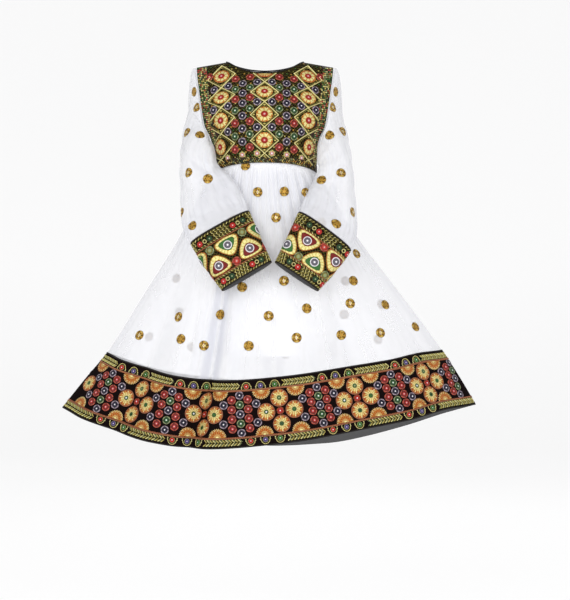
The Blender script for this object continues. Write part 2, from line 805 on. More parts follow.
class Wire:
    """A socket's value in a material. Arithmetic on it adds Math nodes."""

    def __init__(self, finish, socket):
        self.finish = finish
        self.socket = socket

    def math(self, operation, first, second=0.0):
        return self.finish.node("ShaderNodeMath", {"operation": operation}, {0: first, 1: second})

    def __add__(self, other):
        return self.math("ADD", self, other)

    def __sub__(self, other):
        return self.math("SUBTRACT", self, other)

    def __mul__(self, other):
        return self.math("MULTIPLY", self, other)

    def __rsub__(self, other):
        return self.math("SUBTRACT", other, self)

    __radd__ = __add__
    __rmul__ = __mul__

    def sine(self):
        return self.math("SINE", self)


class Finish:
    """A material made of nodes, whose surface is one Principled shader."""

    def __init__(self, name):
        self.material = bpy.data.materials.new(name)
        self.material.use_nodes = True
        self.tree = self.material.node_tree
        self.tree.nodes.clear()

    def node(self, kind, settings=None, sockets=None, output=0):
        """Adds a node of a type. Its settings are set first, with "stops" for a ramp's colours, and then its
        sockets take values or wires, each named by its identifier, name or number."""
        made = self.tree.nodes.new(kind)
        for name, value in (settings or {}).items():
            if name == "stops":
                self.set_stops(made.color_ramp, value)
            else:
                setattr(made, name, value)
        for name, value in (sockets or {}).items():
            socket = made.inputs[name] if isinstance(name, int) else self.socket(made.inputs, name)
            if isinstance(value, Wire):
                self.tree.links.new(value.socket, socket)
            else:
                socket.default_value = value
        found = made.outputs[output] if isinstance(output, int) else self.socket(made.outputs, output)
        return Wire(self, found)

    @staticmethod
    def socket(sockets, name):
        same = [s for s in sockets if s.identifier == name] or [s for s in sockets if s.name == name]
        return same[0]

    @staticmethod
    def set_stops(ramp, stops):
        while len(ramp.elements) < len(stops):
            ramp.elements.new(1.0)
        for element, (place, colour) in zip(ramp.elements, stops):
            element.position = place
            element.color = (*colour, 1.0)

    def mix(self, factor, first, second):
        """A colour between two colours."""
        colours = {
            name: value if isinstance(value, Wire) else (*value, 1.0)
            for name, value in (("A_Color", first), ("B_Color", second))
        }
        return self.node(
            "ShaderNodeMix", {"data_type": "RGBA"}, {"Factor_Float": factor, **colours}, "Result_Color"
        )

    def noise(self, vector, scale, detail=2.0):
        sockets = {"Vector": vector, "Scale": scale, "Detail": detail}
        return self.node("ShaderNodeTexNoise", {}, sockets, "Fac")

    def uv(self):
        return self.node("ShaderNodeUVMap", {"uv_map": "cloth"}, {}, "UV")

    def split(self, vector):
        """The x and y of a vector."""
        x = self.node("ShaderNodeSeparateXYZ", {}, {"Vector": vector}, "X")
        return x, Wire(self, x.socket.node.outputs["Y"])

    def object_place(self):
        return self.node("ShaderNodeTexCoord", {}, {}, "Object")

    def attribute(self, name, output="Color"):
        return self.node("ShaderNodeAttribute", {"attribute_name": name}, {}, output)

    def weave(self, pitch):
        """The height of a plain weave, from -1 to 1: the sine across the threads times the sine along."""
        across, down = self.split(self.uv())
        turns = 2 * math.pi / pitch
        return (across * turns).sine() * (down * turns).sine()

    def bump(self, height, distance, strength=1.0, over=None):
        sockets = {"Height": height, "Distance": distance, "Strength": strength}
        if over is not None:
            sockets["Normal"] = over
        return self.node("ShaderNodeBump", {}, sockets, "Normal")

    def surface(self, **sockets):
        """The Principled shader with these sockets, joined to the output. Gives the material."""
        named = {name.replace("_", " "): value for name, value in sockets.items()}
        for name, value in named.items():
            if isinstance(value, tuple) and len(value) == 3:
                named[name] = (*value, 1.0)
        shader = self.node("ShaderNodeBsdfPrincipled", {}, named, "BSDF")
        output = self.tree.nodes.new("ShaderNodeOutputMaterial")
        self.tree.links.new(shader.socket, output.inputs["Surface"])
        return self.material


def palette(**codes):
    """Named colours written as 0xRRGGBB, in linear values."""
    return {name: linear(code) for name, code in codes.items()}


THREAD = palette(
    black=0x17110F,
    rim=0x3A1D14,
    orange=0xC86A2C,
    burnt=0xA9512A,
    gold=0xD0A048,
    pale=0xF0E6A2,
    straw=0xD8C878,
    olive=0x8E8645,
    dark_olive=0x4A4522,
    copper=0xA8694A,
    tan=0xC08A66,
    red=0xBE2E24,
    dark_red=0x861A18,
    rose=0xC8624E,
    green=0x447A3C,
    dark_green=0x214B2A,
    sage=0x9CA87A,
    navy=0x1D1B3A,
    violet=0x5B4A86,
    lavender=0xB4A4B0,
    grey=0x77747F,
    white=0xF6F2F6,
    pink=0xE3B4B4,
    sequin=0xA98A3C,
    dark_sequin=0x6E5620,
)


def cloth_finish(name, colour, pitch, roughness, sheen, shade=0.12, glow=0.0):
    """Woven cloth: its colour varied by soft noise, and the weave and small creases as bump. A faint glow
    stands for the light that thin cloth over it scatters on to it."""
    made = Finish(name)
    place = made.object_place()
    tone = made.noise(place, 9.0, 3.0) * 0.6 + made.noise(place, 60.0, 2.0) * 0.4
    darker = tuple(channel * (1 - shade) for channel in colour)
    creases = made.bump(made.noise(place, 22.0, 3.0), 0.004, 0.35)
    normal = made.bump(made.weave(pitch), 0.0002, 0.5, creases)
    return made.surface(
        Base_Color=made.mix(tone, darker, tuple(colour)),
        Roughness=tone * 0.12 + (roughness - 0.06),
        Specular_IOR_Level=0.25,
        Sheen_Weight=sheen,
        Sheen_Roughness=0.4,
        Emission_Color=tuple(colour),
        Emission_Strength=glow,
        Normal=normal,
    )


def sheer_finish(colour):
    """Thin cloth: how much of the light it stops is the weight of cloth that each place holds, which is
    more in a fold, varied by soft noise."""
    made = Finish("sheer cloth")
    place = made.object_place()
    weight = made.attribute("weight", "Fac")
    tone = made.noise(place, 11.0, 2.0)
    darker = tuple(channel * shade for channel, shade in zip(colour, (0.82, 0.83, 0.87)))
    normal = made.bump(made.weave(0.0016), 0.0001, 0.12, made.bump(tone, 0.003, 0.2))
    return made.surface(
        Base_Color=made.mix(weight * 0.9 + tone * 0.1, tuple(colour), darker),
        Roughness=tone * 0.1 + 0.42,
        Specular_IOR_Level=0.3,
        Sheen_Weight=0.25,
        Sheen_Roughness=0.35,
        Alpha=weight * 0.34 + tone * 0.06 + 0.24,
        Normal=normal,
    )


def ground_finish(name, colour, net):
    """Black cloth under embroidery, with a net of fine couched thread: lines where the sines of the two
    diagonals of the UVs come near their peaks."""
    made = Finish(name)
    across, down = made.split(made.uv())
    turns = 2 * math.pi / 0.009
    rising = ((across + down) * turns).sine()
    falling = ((across - down) * turns).sine()
    lines = rising.math("MAXIMUM", rising, falling)
    mask = lines.math("GREATER_THAN", lines, 0.86) * net
    place = made.object_place()
    grain = made.noise(place, 500.0, 2.0)
    base = made.mix(mask * (grain * 0.8 + 0.2), tuple(colour), THREAD["olive"])
    return made.surface(
        Base_Color=base,
        Roughness=grain * 0.2 + 0.6,
        Specular_IOR_Level=0.03,
        Normal=made.bump(lines * mask + grain * 0.5, 0.0005, 0.7),
    )


def stitched_finish():
    """Embroidery: each face's own thread colour, with the ridges of its threads as bump. The lustre
    attribute holds how metallic a thread is in its red, and how rough in its green."""
    made = Finish("stitched thread")
    threads, _ = made.split(made.uv())
    ridge = (threads * (2 * math.pi)).sine()
    place = made.object_place()
    grain = made.noise(place, 900.0, 2.0)
    colour = made.attribute("thread")
    lustre = made.attribute("lustre")
    metal, rough = made.split(lustre)
    shaded = made.mix(ridge * 0.18 + grain * 0.3 + 0.1, colour, (0.02, 0.015, 0.01))
    return made.surface(
        Base_Color=shaded,
        Metallic=metal,
        Roughness=rough,
        Specular_IOR_Level=0.25,
        Normal=made.bump(ridge * 0.5 + grain, 0.0004, 0.6),
    )


# Motifs of embroidery


class Motif:
    """A small raised patch of stitching: points in mm (x across the cloth, y down it, z out of it), quads,
    UVs that count threads across, and for each quad a colour, how metallic and how rough it is."""

    def __init__(self, points, faces, uv, colours, lustre):
        self.points = np.asarray(points, float)
        self.faces = np.asarray(faces)
        self.uv = np.asarray(uv, float)
        self.colours = np.asarray(colours, float)
        self.lustre = np.asarray(lustre, float)
        x, y = (self.points[self.faces, axis] for axis in (0, 1))
        area = (x * np.roll(y, -1, axis=1) - y * np.roll(x, -1, axis=1)).sum(axis=1)
        wrong = area > 0
        self.faces[wrong] = self.faces[wrong, ::-1]
        self.uv[wrong] = self.uv[wrong, ::-1]

    @staticmethod
    def joined(motifs):
        starts = np.cumsum([0] + [len(m.points) for m in motifs[:-1]])
        return Motif(
            np.concatenate([m.points for m in motifs]),
            np.concatenate([m.faces + start for m, start in zip(motifs, starts)]),
            np.concatenate([m.uv for m in motifs]),
            np.concatenate([m.colours for m in motifs]),
            np.concatenate([m.lustre for m in motifs]),
        )

    def changed(self, points):
        return Motif(points, self.faces.copy(), self.uv.copy(), self.colours, self.lustre)

    def moved(self, x, y):
        return self.changed(self.points + (x, y, 0))

    def turned(self, angle):
        c, s = math.cos(angle), math.sin(angle)
        return self.changed(self.points @ np.array([[c, s, 0], [-s, c, 0], [0, 0, 1]]))


def circle(radius, count, start=0.0, sweep=2 * math.pi):
    """Points round a circle: the cosine and the sine times the radius. A part circle has both its ends."""
    whole = sweep >= 2 * math.pi
    angle = start + sweep * np.arange(count if whole else count + 1) / count
    return np.column_stack([np.cos(angle), np.sin(angle)]) * radius


def rounded_triangle(width, height, count):
    """A triangle with round corners and its tip down: a circle whose radius grows by a share of the cosine
    of three times the angle from the tip."""
    angle = 2 * np.pi * np.arange(count) / count
    radius = 1 + 0.14 * np.cos(3 * (angle - np.pi / 2)) + 0.03 * np.cos(6 * (angle - np.pi / 2))
    return np.column_stack([np.cos(angle) * width / 2, np.sin(angle) * height / 2]) * radius[:, None]


def dome(outline, rings, threads=2.0, closed=True):
    """A raised patch: the outline shrunk towards its middle by each ring's share and lifted to its height,
    closed by a cap. A ring is (share, height, colours, metal, roughness), where the colours are dealt out
    in turn to the sectors between it and the next ring."""
    count = len(outline)
    sectors = count if closed else count - 1
    shares = np.array([ring[0] for ring in rings])[:, None, None]
    heights = np.array([ring[1] for ring in rings])[:, None, None]
    flat = outline[None] * shares
    points = np.concatenate([flat, np.broadcast_to(heights, (len(rings), count, 1))], axis=2)
    points = np.append(points.reshape(-1, 3), [[0, 0, rings[-1][1]]], axis=0)
    ids = np.arange(len(rings) * count).reshape(len(rings), count)
    if closed:
        ids = np.append(ids, ids[:, :1], axis=1)
    quads = cells(ids, "adcb")
    along = np.arange(sectors + 1) * threads
    ring_number = np.arange(len(rings) - 1)[:, None]
    corner_u = np.stack([along[:-1], along[1:], along[1:], along[:-1]], axis=-1)
    corner_u = np.broadcast_to(corner_u, (len(rings) - 1, sectors, 4)).reshape(-1, 4)
    corner_v = np.broadcast_to(ring_number[..., None] + np.array([0, 0, 1, 1]), (len(rings) - 1, sectors, 4))
    uv = np.stack([corner_u, corner_v.reshape(-1, 4)], axis=-1)
    start = np.arange(0, sectors - 1, 2)
    cap = np.stack([np.full(len(start), len(points) - 1), *(ids[-1][start + k] for k in range(3))], axis=-1)
    cap_uv = np.zeros((len(cap), 4, 2))
    dealt = []
    for ring in rings:
        shades = ring[2] if isinstance(ring[2], list) else [ring[2]]
        faces = len(start) if ring is rings[-1] else sectors
        dealt.append(np.array([shades[i % len(shades)] for i in range(faces)]))
    lustre = np.repeat([ring[3:5] for ring in rings], [len(shades) for shades in dealt], axis=0)
    return Motif(
        points, np.concatenate([quads, cap]), np.concatenate([uv, cap_uv]), np.concatenate(dealt), lustre
    )


def ribbon(path, width, height, colours, metal=0.35, rough=0.4, closed=False, pitch=1.2):
    """A raised band along a path in the cloth's plane: across it, a slope up, a flat top and a slope down.
    Its colours are dealt out in turn along it."""
    line = np.append(path, path[:1], axis=0) if closed else path
    step = np.gradient(line, axis=0)
    if closed:
        step[0] = step[-1] = line[1] - line[-2]
    side = unit(np.column_stack([step[:, 1], -step[:, 0]]))
    offsets = np.array([-0.5, -0.28, 0.28, 0.5]) * width
    flat = line[:, None, :] + side[:, None, :] * offsets[None, :, None]
    lift = np.broadcast_to(np.array([-0.25, height, height, -0.25])[None, :, None], (len(line), 4, 1))
    points = np.concatenate([flat, lift], axis=2).reshape(-1, 3)
    quads = cells(np.arange(len(line) * 4).reshape(len(line), 4))
    run = np.append(0, np.cumsum(np.linalg.norm(np.diff(line, axis=0), axis=1))) / pitch
    u = run[:, None] + np.linspace(0, 1, 4)[None, :]
    mark = np.stack([u, np.broadcast_to(np.arange(4.0), u.shape)], axis=-1).reshape(-1, 2)
    shades = colours if isinstance(colours, list) else [colours]
    dealt = np.array([shades[i % len(shades)] for i in range(len(line) - 1)])
    dealt = np.repeat(dealt, 3, axis=0)
    return Motif(points, quads, mark[quads], dealt, np.tile([metal, rough], (len(quads), 1)))


def stitch(length, width, height, colour, metal=0.35, rough=0.4):
    """One short stitch along x."""
    path = np.array([[-length / 2, 0.0], [length / 2, 0.0]])
    return ribbon(path, width, height, colour, metal, rough, pitch=length)


def ring_jewel(radius, outer, inner, centre=None, glint="white"):
    """A round eyelet: a raised ring of threads with dark gaps, a dark hollow, and a glossy jewel with a
    small glint, if it has one."""
    centre = centre or inner
    dark = tuple(channel * 0.3 for channel in outer)
    hollow = tuple(channel * 0.35 for channel in inner)
    return dome(
        circle(radius, 12),
        [
            (1.0, -0.3, [outer, dark], 0.1, 0.5),
            (0.92, 1.0, [outer, outer, dark], 0.1, 0.5),
            (0.74, 0.7, hollow, 0.0, 0.3),
            (0.6, 0.9, inner, 0.0, 0.25),
            (0.38, 1.3, centre, 0.1, 0.15),
            (0.17, 1.5, THREAD[glint] if glint else centre, 0.0, 0.2),
        ],
    )


def ring_jewels():
    """The three eyelets of the yoke and the band, by their colours."""
    t = THREAD
    return {
        "violet": ring_jewel(10.4, t["lavender"], t["navy"]),
        "green": ring_jewel(10.2, t["sage"], t["dark_green"], t["green"]),
        "red": ring_jewel(10.6, t["rose"], t["dark_red"], t["red"], "pink"),
    }


def medallion(radius, middle, glint):
    """A round medallion: a copper cord round it, a ring of orange, rays of pale thread, and a dark
    middle."""
    t = THREAD
    rays = [t["pale"], t["pale"], t["gold"], t["pale"], t["straw"], t["orange"], t["pale"], t["gold"]]
    return dome(
        circle(radius, 40),
        [
            (1.0, -0.3, t["copper"], 0.1, 0.6),
            (0.96, 0.9, [t["copper"], t["tan"]], 0.2, 0.5),
            (0.9, 0.6, [t["burnt"], t["rim"]], 0.1, 0.5),
            (0.85, 1.0, [t["orange"], t["gold"], t["orange"], t["burnt"], t["pale"]], 0.2, 0.45),
            (0.64, 1.3, rays, 0.3, 0.4),
            (0.42, 1.6, [t["pale"], t["pale"], t["gold"], t["pale"]], 0.3, 0.4),
            (0.26, 1.7, [middle, t["dark_green"], middle, t["rim"]], 0.1, 0.35),
            (0.1, 2.0, t[glint], 0.0, 0.2),
        ],
    )


def half_medallion(radius, down):
    """Half a medallion with a toothed rim of rays, its flat side on the field's edge."""
    t = THREAD
    outline = circle(radius, 30, 0.0 if down else math.pi, math.pi)
    tooth = 1 + 0.06 * np.where(np.arange(len(outline)) % 2 == 0, 1, -1)
    return dome(
        outline * tooth[:, None],
        [
            (1.0, -0.3, [t["pale"], t["burnt"]], 0.2, 0.5),
            (0.86, 0.8, [t["orange"], t["gold"], t["burnt"], t["pale"]], 0.2, 0.5),
            (0.7, 1.2, [t["orange"], t["gold"], t["orange"], t["burnt"]], 0.3, 0.4),
            (0.4, 1.5, [t["orange"], t["gold"], t["pale"]], 0.3, 0.4),
            (0.15, 1.7, t["pale"], 0.3, 0.4),
        ],
        closed=False,
    )


def arched_jewel(radius, colour, down):
    """A round jewel under a gold arch, with a small flourish at either foot."""
    t = THREAD
    jewel = dome(
        circle(radius, 16),
        [
            (1.0, -0.3, t["dark_olive"], 0.3, 0.5),
            (0.9, 0.9, [t["sage"], t["olive"]], 0.3, 0.4),
            (0.78, 1.2, colour, 0.1, 0.2),
            (0.4, 1.6, colour, 0.1, 0.15),
            (0.16, 1.7, t["white"], 0.0, 0.2),
        ],
    )
    start = math.pi if down else 0.0
    arch = ribbon(circle(radius * 1.32, 14, start, math.pi), 1.8, 1.0, [t["pale"], t["straw"]])
    side = radius * 1.5 * (1 if down else -1)
    feet = [
        dome(circle(1.7, 6), [(1.0, -0.2, t["pale"], 0.3, 0.4), (0.6, 1.0, t["pale"], 0.3, 0.4)]).moved(x, y)
        for x in (-radius * 1.5, radius * 1.5)
        for y in (side * 0.1, side * 0.42)
    ]
    return Motif.joined([jewel, arch, *feet])


class Embroidery:
    """Motifs laid on a piece of cloth, gathered into one mesh."""

    def __init__(self, cloth):
        self.cloth = cloth
        self.points, self.faces, self.uv, self.colours, self.lustre = [], [], [], [], []
        self.count = 0

    def lay(self, motif, u, v, turn=0.0, lift=0.0):
        """Lays a motif at each place: its points are turned, corrected for how far the cloth is stretched
        and slanted there, and set on the cloth at their height."""
        u, v, turn = (np.ravel(a).astype(float) for a in np.broadcast_arrays(u, v, turn))
        if not len(u):
            return self
        x, y, z = motif.points.T
        c, s = np.cos(turn)[:, None], np.sin(turn)[:, None]
        wide, tall, slant = (part[:, None] for part in self.cloth.stretch(u, v))
        square = np.sqrt(1 - slant**2)
        low = x * s + y * c
        across = u[:, None] + (x * c - y * s - low * slant / square) / wide
        down = v[:, None] + low / (square * tall)
        placed = self.cloth.at(across, down, np.broadcast_to(z + lift, down.shape))
        first = self.count + np.arange(len(u)) * len(motif.points)
        self.points.append(placed.reshape(-1, 3))
        self.faces.append((motif.faces[None] + first[:, None, None]).reshape(-1, 4))
        self.uv.append(np.tile(motif.uv.reshape(-1, 2), (len(u), 1)))
        self.colours.append(np.tile(motif.colours, (len(u), 1)))
        self.lustre.append(np.tile(motif.lustre, (len(u), 1)))
        self.count += len(u) * len(motif.points)
        return self

    def piece(self, name):
        """One mesh of all the motifs, which rides on the gown."""
        lustre = np.concatenate(self.lustre)
        lustre = np.column_stack([lustre, np.zeros(len(lustre))])
        attributes = {
            "thread": np.repeat(np.concatenate(self.colours), 4, axis=0),
            "lustre": np.repeat(lustre, 4, axis=0),
        }
        points, faces, uv = (np.concatenate(part) for part in (self.points, self.faces, self.uv))
        made = new_piece(name, points, faces, uv, finish("stitched thread"), attributes, False)
        return joined_to_frame(made, "gold_braid")


def inside(places, low, high):
    """The places between two limits."""
    places = np.asarray(places, float)
    return places[(places > low) & (places < high)]


# Pieces

SHARE_COLUMNS = 161  # columns of the bodice and the underskirt
SHEER_ROWS = 74
BAND_ROWS = 15
BRAID_WALL = 1
YOKE_WALL = 2
BACK_WALL = 1.5
SHEER_WALL = 1.2
BAND_LENGTH = 165  # from the band's top to the hem, which the places down it below are measured in
REPEAT = 193  # from one group of medallions on the band to the next
FIELD_TOP, FIELD_BOTTOM = 27.5, 140
FIELD_MIDDLE = (FIELD_TOP + FIELD_BOTTOM) / 2
YOKE_HEIGHT = 230
SEQUIN_RADIUS = 12.5
SIDES = (("left", 1), ("right", -1))
GROUP_AT_X = 39.7  # x of the group of medallions nearest to the middle of the front

# Where the sequins of the front show, in mm
SEQUINS = table(
    "x z",
    (-47, -270),
    (-17, -332),
    (49, -332),
    (103, -335),
    (-75, -400),
    (28, -398),
    (140, -405),
    (-20, -470),
    (88, -478),
    (227, -483),
    (-54, -566),
    (47, -550),
    (218, -552),
    (-209, -636),
    (-106, -636),
    (11, -634),
    (103, -617),
    (209, -602),
    (296, -605),
    (-309, -684),
    (-203, -696),
    (-145, -708),
    (-37, -711),
    (79, -692),
    (185, -680),
    (283, -675),
    (373, -660),
)
# Where the sequins of a sleeve show from the front, with x measured outwards
SLEEVE_SEQUINS = table(
    "x z",
    (177, -77),
    (169, -117),
    (158, -189),
    (194, -178),
    (137, -305),
    (186, -288),
    (173, -417),
    (215, -385),
)


def sizes():
    return bpy.context.scene.gown_sizes


def colours():
    return bpy.context.scene.gown_colours


def finish(name):
    """The named material, made when it is first asked for. The numbers are the weave's pitch in metres, the
    roughness, the sheen, how much darker the dark places are, and the glow."""
    if name in bpy.data.materials:
        return bpy.data.materials[name]
    shades = colours()
    makers = {
        "sheer cloth": lambda: sheer_finish(shades.sheer),
        "white satin": lambda: cloth_finish(name, shades.satin, 0.0014, 0.45, 0.2, 0.06, 0.06),
        "white lining": lambda: cloth_finish(name, shades.satin, 0.0018, 0.7, 0.1, 0.08),
        "grey facing": lambda: cloth_finish(name, shades.facing, 0.002, 0.75, 0.05, 0.3),
        "black binding": lambda: cloth_finish(name, THREAD["black"], 0.0016, 0.6, 0.05, 0.3),
        "braid ground": lambda: cloth_finish(name, THREAD["rim"], 0.0022, 0.55, 0.0, 0.5),
        "yoke ground": lambda: ground_finish(name, shades.ground, 0.5),
        "band ground": lambda: ground_finish(name, shades.ground, 0.02),
        "stitched thread": stitched_finish,
    }
    made = makers[name]()
    made.name = name
    return made


def gathered_weight(cloth, near=3, far=14):
    """How much cloth each place holds, from 0 to 1: how far the mean of the normals within a few columns
    turns from their mean within many columns."""
    normals = cloth.normals
    if cloth.closed:
        wide = np.concatenate([normals[:, -far:], normals, normals[:, :far]], axis=1)
    else:
        edges = [np.repeat(normals[:, end], far, axis=1) for end in (slice(0, 1), slice(-1, None))]
        wide = np.concatenate([edges[0], normals, edges[1]], axis=1)
    total = np.cumsum(np.concatenate([np.zeros_like(wide[:, :1]), wide], axis=1), axis=1)

    def mean(reach):
        first = far - reach + np.arange(normals.shape[1])
        return unit(total[:, first + 2 * reach + 1] - total[:, first])

    return np.clip(np.linalg.norm(mean(near) - mean(far), axis=2) * 2.0, 0, 1)


def nearest_places(cloth, x, z):
    """The places across and down a cloth whose points lie nearest to x and z, among those that face the
    front."""
    facing = cloth.normals[..., 1] < -0.15
    points = cloth.points[facing]
    columns, rows = np.meshgrid(cloth.across[: cloth.points.shape[1]], cloth.down)
    gap = (points[None, :, 0] - x[:, None]) ** 2 + (points[None, :, 2] - z[:, None]) ** 2
    best = gap.argmin(axis=1)
    return columns[facing][best], rows[facing][best]


def sequin(bright):
    """A flat round sequin of stitched gold, darker towards its edge, with light glints in its middle."""
    t = THREAD
    glints = [t["pale"], t["gold"], t["white"], t["sequin"]] if bright else [t["gold"], t["sequin"]]
    return dome(
        circle(SEQUIN_RADIUS, 18),
        [
            (1.0, -0.2, [t["dark_sequin"], t["sequin"]], 0.5, 0.5),
            (0.92, 0.5, [t["gold"], t["sequin"], t["dark_sequin"], t["gold"], t["straw"]], 0.4, 0.4),
            (0.62, 0.7, [t["sequin"], t["gold"], t["dark_sequin"]], 0.5, 0.35),
            (0.34, 0.8, glints, 0.4, 0.35),
        ],
    )


def laid_sequins(cloth, places, name):
    """Sequins at those places across and down a cloth, every other one with brighter glints."""
    work = Embroidery(cloth)
    for start, bright in ((0, False), (1, True)):
        work.lay(sequin(bright), places[0][start::2], places[1][start::2])
    return work.piece(name)


class GOWN_OT_bodice(Operator):
    """Makes the yoke, the white back, the neck binding and the braids' grounds."""

    bl_idname = "gown.bodice"
    bl_label = "Bodice"

    def execute(self, context):
        across = np.linspace(-1, 1, SHARE_COLUMNS)
        up = np.linspace(0, 1, 90)
        front = shell("yoke", bodice_cloth("front", across, up), YOKE_WALL, finish("yoke ground"))
        joined_to_frame(front, "yoke_ground", "bodice_front")
        back = shell("bodice_back", bodice_cloth("back", across, up), BACK_WALL, finish("white lining"))
        joined_to_frame(back, "white_cloth", "bodice_back")
        self.binding()
        self.braids(across)
        return {"FINISHED"}

    def binding(self):
        """A narrow tube that stands on the neckline: a rounded section carried round a closed line."""
        inner = np.linspace(-1, 1, 61) * NECK_HALF_WIDTH / SHOULDER_HALF_WIDTH
        front, back = (bodice_points(face, inner[1:-1], [1])[0] for face in ("front", "back"))
        corner = np.array([NECK_HALF_WIDTH, 0, SHOULDER_TOP])
        line = np.concatenate([[corner * (-1, 1, 1)], front, [corner], back])
        flat = unit(line * (1, 1, 0))
        turn = 2 * np.pi * np.arange(12) / 12
        side = 1.7 * signed_power(np.cos(turn), 0.8) - YOKE_WALL / 2
        height = 0.9 + 1.7 * np.sin(turn)
        points = line[:, None] + flat[:, None] * side[None, :, None]
        points[..., 2] += height
        count = len(line)
        ids = np.arange(count * 12).reshape(count, 12)
        ids = np.concatenate([ids, ids[:1]])
        ids = np.concatenate([ids, ids[:, :1]], axis=1)
        faces = cells(ids)
        u = np.append(0, np.cumsum(np.linalg.norm(np.diff(line, axis=0), axis=1))) * METRE
        uv = np.stack(np.meshgrid(np.append(u, u[-1] + 0.003), np.arange(13) * 0.001, indexing="ij"), axis=-1)
        marks = cells(uv)
        made = new_piece("neck_edge", points.reshape(-1, 3), faces, marks, finish("black binding"))
        joined_to_frame(made, "black_binding", "neck_binding")

    def braids(self, across):
        """The armhole and waist braids, as narrow walls on the yoke."""
        out = BRAID_WALL + SEAM_GAP
        waist = bodice_cloth("front", across, np.linspace(0, WAIST_BRAID_SHARE, 5))
        made = shell("waist_edge", waist, BRAID_WALL, finish("braid ground"), out)
        joined_to_frame(made, "gold_braid", "waist_braid")
        for side, sign in SIDES:
            span = np.sort(sign * np.linspace(ARMHOLE_BRAID_SHARE, 0.987, 12))
            edge = bodice_cloth("front", span, np.linspace(WAIST_BRAID_SHARE + 0.002, 0.988, 70))
            made = shell(f"armhole_edge_{side}", edge, BRAID_WALL, finish("braid ground"), out)
            joined_to_frame(made, "gold_braid", f"armhole_braid_{side}")


class GOWN_OT_skirt(Operator):
    """Makes the two sheer skirt panels, with their gathers, folds and sequins."""

    bl_idname = "gown.skirt"
    bl_label = "Skirt"

    row_gap = 84  # between the rows of the back's sequins
    sequin_gap = 125  # between the sequins of a row
    margin = 40

    def execute(self, context):
        shares = np.linspace(0, 1, sizes().skirt_columns + 1)
        downs = BAND_TOP * np.linspace(0, 1, SHEER_ROWS) ** 1.25
        for face in ("front", "back"):
            cloth = skirt_cloth(face, shares, downs)
            panel = shell(
                f"sheer_skirt_{face}", cloth, sizes().sheer_wall, finish("sheer cloth"),
                weight=gathered_weight(cloth),
            )
            joined_to_frame(panel, "sheer_cloth", f"skirt_{face}")
            laid_sequins(cloth, self.places(face, cloth), f"skirt_sequins_{face}")
        return {"FINISHED"}

    def places(self, face, cloth):
        """The front's sequins lie where the table says, and the back's in staggered rows."""
        if face == "front":
            return nearest_places(cloth, SEQUINS["x"], SEQUINS["z"])
        rows = np.arange(self.margin, cloth.length - self.margin / 2, self.row_gap)
        places = []
        for number, v in enumerate(rows):
            room = np.interp(v, cloth.down, cloth.row_width) - 2 * self.margin
            count = max(2, round(room / self.sequin_gap))
            spread = (np.arange(count) + 0.5 * (number % 2) + 0.25) / count
            across = self.margin + spread[spread < 1] * (cloth.width - 2 * self.margin)
            places.extend((u, v) for u in across)
        return np.array(places).T


class GOWN_OT_underskirt(Operator):
    """Makes the two white underskirt panels."""

    bl_idname = "gown.underskirt"
    bl_label = "Underskirt"

    def execute(self, context):
        shares = np.linspace(0, 1, SHARE_COLUMNS)
        downs = np.linspace(0, 1, 60)
        for face in ("front", "back"):
            cloth = underskirt_cloth(face, shares, downs)
            panel = shell(f"satin_underskirt_{face}", cloth, sizes().satin_wall, finish("white satin"))
            joined_to_frame(panel, "white_cloth", f"underskirt_{face}")
        return {"FINISHED"}


class GOWN_OT_hem_band(Operator):
    """Makes the stiff band round the hem and the grey facing behind it."""

    bl_idname = "gown.hem_band"
    bl_label = "Hem Band"

    def execute(self, context):
        shares = np.linspace(0, 1, sizes().skirt_columns + 1)
        wall, facing_wall = sizes().band_wall, sizes().facing_wall
        for face in ("front", "back"):
            cloth = skirt_cloth(face, shares, np.linspace(BAND_TOP + 0.0007, 1, BAND_ROWS))
            band = shell(f"band_{face}", cloth, wall, finish("band ground"), wall - SHEER_WALL)
            joined_to_frame(band, "band_ground", f"hem_band_{face}")
            behind = skirt_cloth(face, shares, np.linspace(BAND_TOP + 0.012, 0.9985, BAND_ROWS))
            out = -SHEER_WALL - SEAM_GAP
            facing = shell(f"facing_{face}", behind, facing_wall, finish("grey facing"), out)
            joined_to_frame(facing, "grey_facing", f"hem_facing_{face}")
        return {"FINISHED"}


def square_to_band(cloth, u, v, margin):
    """Where a pattern drawn square to the band through places on its middle line comes at v down it. The
    slant is measured over 60 mm, so that a small fold doesn't part the pattern."""
    u = inside(u, margin, cloth.width - margin)
    wide, tall, slant = cloth.stretch(u, np.full(len(u), FIELD_MIDDLE), 60)
    return inside(u - (v - FIELD_MIDDLE) * slant * tall / wide, margin, cloth.width - margin)


